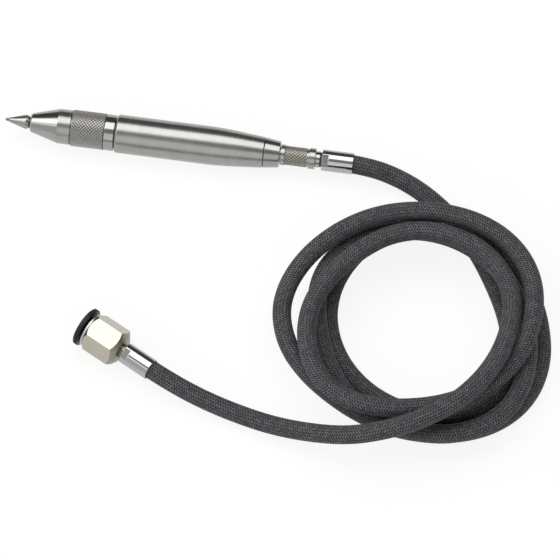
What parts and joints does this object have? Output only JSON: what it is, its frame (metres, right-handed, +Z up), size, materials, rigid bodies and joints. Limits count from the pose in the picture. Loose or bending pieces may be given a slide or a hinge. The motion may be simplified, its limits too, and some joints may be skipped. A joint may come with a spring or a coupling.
{
  "type": "pneumatic engraving pen",
  "caption": "Hand-held pneumatic engraving pen: steel barrel with knurled grip and carbide stylus, turning throttle collar, and a coiled braided air hose to a push-in hex connector.",
  "frame": {"origin": "on the surface the pen lies on, below the middle of the pen's length from the carbide point to the end of its inlet stem", "axes": "+X along the pen from its point towards the hose, +Z up, +Y away from the hose coil"},
  "size_m": [0.2552, 0.1464, 0.0334],
  "materials": {
    "pen_steel": "satin turned steel, warm grey, diamond knurl on the grip and the throttle collar",
    "carbide": "ground tungsten carbide, dark grey",
    "spring_steel": "drawn spring wire",
    "bronze": "turned bearing bronze",
    "inner_steel": "ground and hardened steel",
    "seal_rubber": "black nitrile rubber",
    "bright_chrome": "polished plating with sharp reflections",
    "braided_hose": "charcoal textile braid in a herringbone over a rubber tube",
    "plated_brass": "nickel-plated brass, warm grey, satin",
    "black_plastic": "black moulded plastic with fine ribs round its edge"
  },
  "bodies": {
    "root": {"nose_cone": "pen_steel", "knurled_grip": "pen_steel", "lock_ring": "pen_steel", "barrel": "pen_steel", "rear_cap": "pen_steel", "stop_ring": "pen_steel", "stylus_spring": "spring_steel", "nose_bush": "bronze", "anvil_bush": "bronze", "cylinder_sleeve": "inner_steel", "back_plate": "inner_steel", "inlet_stem": "inner_steel", "grip_ring": "inner_steel", "rear_cap_o_ring": "seal_rubber", "throttle_seals": "seal_rubber", "tube_seal": "seal_rubber", "pen_ferrule": "bright_chrome", "end_ferrule": "bright_chrome", "collet_sleeve": "bright_chrome", "hose_lead": "braided_hose", "hose_coil": "braided_hose", "hose_tail": "braided_hose", "connector_body": "plated_brass", "hose_nipple": "plated_brass", "end_nipple": "plated_brass"},
    "stylus": {"stylus": "pen_steel", "carbide_tip": "carbide"},
    "piston": {"piston": "inner_steel"},
    "throttle": {"throttle_collar": "pen_steel"},
    "release": {"release_ring": "black_plastic"}
  },
  "joints": [
    {"name": "stylus_stroke", "type": "slide", "parent": "root", "child": "stylus", "axis": [-1, 0, 0], "range_m": [0, 0.0015], "stiffness_N_per_m": 1500, "springref_m": -0.0015, "deforming": ["stylus_spring"]},
    {"name": "piston_stroke", "type": "slide", "parent": "root", "child": "piston", "axis": [-1, 0, 0], "range_m": [0, 0.0055]},
    {"name": "throttle_turn", "type": "hinge", "parent": "root", "child": "throttle", "pos_m": [0, 0, 0.00862], "axis": [1, 0, 0], "range_deg": [0, 180]},
    {"name": "release_push", "type": "slide", "parent": "root", "child": "release", "axis": [0.887, -0.4617, 0], "range_m": [0, 0.0008], "stiffness_N_per_m": 2500, "springref_m": -0.0006}
  ]
}
